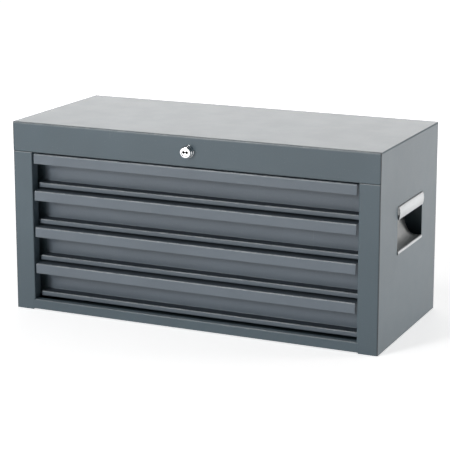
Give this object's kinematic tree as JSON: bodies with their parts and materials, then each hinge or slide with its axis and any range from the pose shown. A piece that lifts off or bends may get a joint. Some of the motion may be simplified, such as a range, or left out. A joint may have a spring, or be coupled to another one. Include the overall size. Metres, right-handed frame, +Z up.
{
  "type": "drawer tool chest",
  "caption": "Low steel top chest with full-width drawers on ball slides, pull strips over recessed fronts, a central lock in the header and a hand hole in each side.",
  "frame": {"origin": "centre of the base footprint, on the underside of the base sheet", "axes": "+Z up, -Y out of the drawer fronts, +X to the right of someone facing the drawers"},
  "size_m": [0.6808, 0.313, 0.335],
  "materials": {
    "body_paint": "satin slate-grey powder coat",
    "drawer_paint": "satin slate-grey powder coat",
    "bright_grip": "bright satin metal",
    "lock_chrome": "polished chrome plate",
    "zinc_steel": "bright zinc plate",
    "ball_steel": "bright steel",
    "liner": "ribbed foam rubber mat"
  },
  "bodies": {
    "cabinet": {"back_panel": "body_paint", "back_rivets": "zinc_steel", "base_panel": "body_paint", "bottom_rail": "body_paint", "grip_bar_left": "bright_grip", "grip_bar_right": "bright_grip", "grip_pocket_left": "body_paint", "grip_pocket_right": "body_paint", "grip_sill_left": "bright_grip", "grip_sill_right": "bright_grip", "lock_bar_guides": "zinc_steel", "lock_housing": "lock_chrome", "lock_nut": "zinc_steel", "lock_rod_bracket": "zinc_steel", "side_panel_left": "body_paint", "side_panel_right": "body_paint", "slide_screws": "zinc_steel", "top_cover": "body_paint", "uprights_left": "body_paint", "uprights_right": "body_paint", "drawer_1_slide_outer": "zinc_steel", "drawer_2_slide_outer": "zinc_steel", "drawer_3_slide_outer": "zinc_steel", "drawer_4_slide_outer": "zinc_steel"},
    "lock_core": {"lock_plug": "lock_chrome", "lock_clip": "zinc_steel", "lock_rod": "zinc_steel"},
    "lock_bar_body": {"lock_bar": "zinc_steel"},
    "drawer_1": {"drawer_1_front": "drawer_paint", "drawer_1_pan": "drawer_paint", "drawer_1_liner": "liner", "drawer_1_rivets": "zinc_steel", "drawer_1_slide_inner": "zinc_steel"},
    "drawer_1_middle_members": {"drawer_1_slide_middle": "zinc_steel"},
    "drawer_1_outer_cages": {"drawer_1_cages_outer": "ball_steel"},
    "drawer_1_inner_cages": {"drawer_1_cages_inner": "ball_steel"},
    "drawer_2": {"drawer_2_front": "drawer_paint", "drawer_2_pan": "drawer_paint", "drawer_2_liner": "liner", "drawer_2_rivets": "zinc_steel", "drawer_2_slide_inner": "zinc_steel"},
    "drawer_2_middle_members": {"drawer_2_slide_middle": "zinc_steel"},
    "drawer_2_outer_cages": {"drawer_2_cages_outer": "ball_steel"},
    "drawer_2_inner_cages": {"drawer_2_cages_inner": "ball_steel"},
    "drawer_3": {"drawer_3_front": "drawer_paint", "drawer_3_pan": "drawer_paint", "drawer_3_liner": "liner", "drawer_3_rivets": "zinc_steel", "drawer_3_slide_inner": "zinc_steel"},
    "drawer_3_middle_members": {"drawer_3_slide_middle": "zinc_steel"},
    "drawer_3_outer_cages": {"drawer_3_cages_outer": "ball_steel"},
    "drawer_3_inner_cages": {"drawer_3_cages_inner": "ball_steel"},
    "drawer_4": {"drawer_4_front": "drawer_paint", "drawer_4_pan": "drawer_paint", "drawer_4_liner": "liner", "drawer_4_rivets": "zinc_steel", "drawer_4_slide_inner": "zinc_steel"},
    "drawer_4_middle_members": {"drawer_4_slide_middle": "zinc_steel"},
    "drawer_4_outer_cages": {"drawer_4_cages_outer": "ball_steel"},
    "drawer_4_inner_cages": {"drawer_4_cages_inner": "ball_steel"}
  },
  "joints": [
    {"name": "drawer_1_slide", "type": "slide", "parent": "cabinet", "child": "drawer_1", "axis": [0, -1, 0], "range_m": [0, 0.225]},
    {"name": "drawer_1_middle_slide", "type": "slide", "parent": "cabinet", "child": "drawer_1_middle_members", "axis": [0, -1, 0], "range_m": [0, 0.11255]},
    {"name": "drawer_1_outer_cage_roll", "type": "slide", "parent": "cabinet", "child": "drawer_1_outer_cages", "axis": [0, -1, 0], "range_m": [0, 0.0563]},
    {"name": "drawer_1_inner_cage_roll", "type": "slide", "parent": "cabinet", "child": "drawer_1_inner_cages", "axis": [0, -1, 0], "range_m": [0, 0.1688]},
    {"name": "drawer_2_slide", "type": "slide", "parent": "cabinet", "child": "drawer_2", "axis": [0, -1, 0], "range_m": [0, 0.225]},
    {"name": "drawer_2_middle_slide", "type": "slide", "parent": "cabinet", "child": "drawer_2_middle_members", "axis": [0, -1, 0], "range_m": [0, 0.11255]},
    {"name": "drawer_2_outer_cage_roll", "type": "slide", "parent": "cabinet", "child": "drawer_2_outer_cages", "axis": [0, -1, 0], "range_m": [0, 0.0563]},
    {"name": "drawer_2_inner_cage_roll", "type": "slide", "parent": "cabinet", "child": "drawer_2_inner_cages", "axis": [0, -1, 0], "range_m": [0, 0.1688]},
    {"name": "drawer_3_slide", "type": "slide", "parent": "cabinet", "child": "drawer_3", "axis": [0, -1, 0], "range_m": [0, 0.225]},
    {"name": "drawer_3_middle_slide", "type": "slide", "parent": "cabinet", "child": "drawer_3_middle_members", "axis": [0, -1, 0], "range_m": [0, 0.11255]},
    {"name": "drawer_3_outer_cage_roll", "type": "slide", "parent": "cabinet", "child": "drawer_3_outer_cages", "axis": [0, -1, 0], "range_m": [0, 0.0563]},
    {"name": "drawer_3_inner_cage_roll", "type": "slide", "parent": "cabinet", "child": "drawer_3_inner_cages", "axis": [0, -1, 0], "range_m": [0, 0.1688]},
    {"name": "drawer_4_slide", "type": "slide", "parent": "cabinet", "child": "drawer_4", "axis": [0, -1, 0], "range_m": [0, 0.225]},
    {"name": "drawer_4_middle_slide", "type": "slide", "parent": "cabinet", "child": "drawer_4_middle_members", "axis": [0, -1, 0], "range_m": [0, 0.11255]},
    {"name": "drawer_4_outer_cage_roll", "type": "slide", "parent": "cabinet", "child": "drawer_4_outer_cages", "axis": [0, -1, 0], "range_m": [0, 0.0563]},
    {"name": "drawer_4_inner_cage_roll", "type": "slide", "parent": "cabinet", "child": "drawer_4_inner_cages", "axis": [0, -1, 0], "range_m": [0, 0.1688]},
    {"name": "lock_turn", "type": "hinge", "parent": "cabinet", "child": "lock_core", "pos_m": [0, -0.15, 0.3095], "axis": [0, 1, 0], "range_deg": [0, 90.1]},
    {"name": "lock_bar_slide", "type": "slide", "parent": "cabinet", "child": "lock_bar_body", "axis": [0, 0, -1], "range_m": [0, 0.01131]}
  ],
  "couplings": [
    {"joint": "drawer_1_middle_slide", "follows": "drawer_1_slide", "ratio": 0.5},
    {"joint": "drawer_1_outer_cage_roll", "follows": "drawer_1_slide", "ratio": 0.25},
    {"joint": "drawer_1_inner_cage_roll", "follows": "drawer_1_slide", "ratio": 0.75},
    {"joint": "drawer_2_middle_slide", "follows": "drawer_2_slide", "ratio": 0.5},
    {"joint": "drawer_2_outer_cage_roll", "follows": "drawer_2_slide", "ratio": 0.25},
    {"joint": "drawer_2_inner_cage_roll", "follows": "drawer_2_slide", "ratio": 0.75},
    {"joint": "drawer_3_middle_slide", "follows": "drawer_3_slide", "ratio": 0.5},
    {"joint": "drawer_3_outer_cage_roll", "follows": "drawer_3_slide", "ratio": 0.25},
    {"joint": "drawer_3_inner_cage_roll", "follows": "drawer_3_slide", "ratio": 0.75},
    {"joint": "drawer_4_middle_slide", "follows": "drawer_4_slide", "ratio": 0.5},
    {"joint": "drawer_4_outer_cage_roll", "follows": "drawer_4_slide", "ratio": 0.25},
    {"joint": "drawer_4_inner_cage_roll", "follows": "drawer_4_slide", "ratio": 0.75},
    {"joint": "lock_turn", "follows": "lock_bar_slide", "rad_per_m": 138.84}
  ]
}
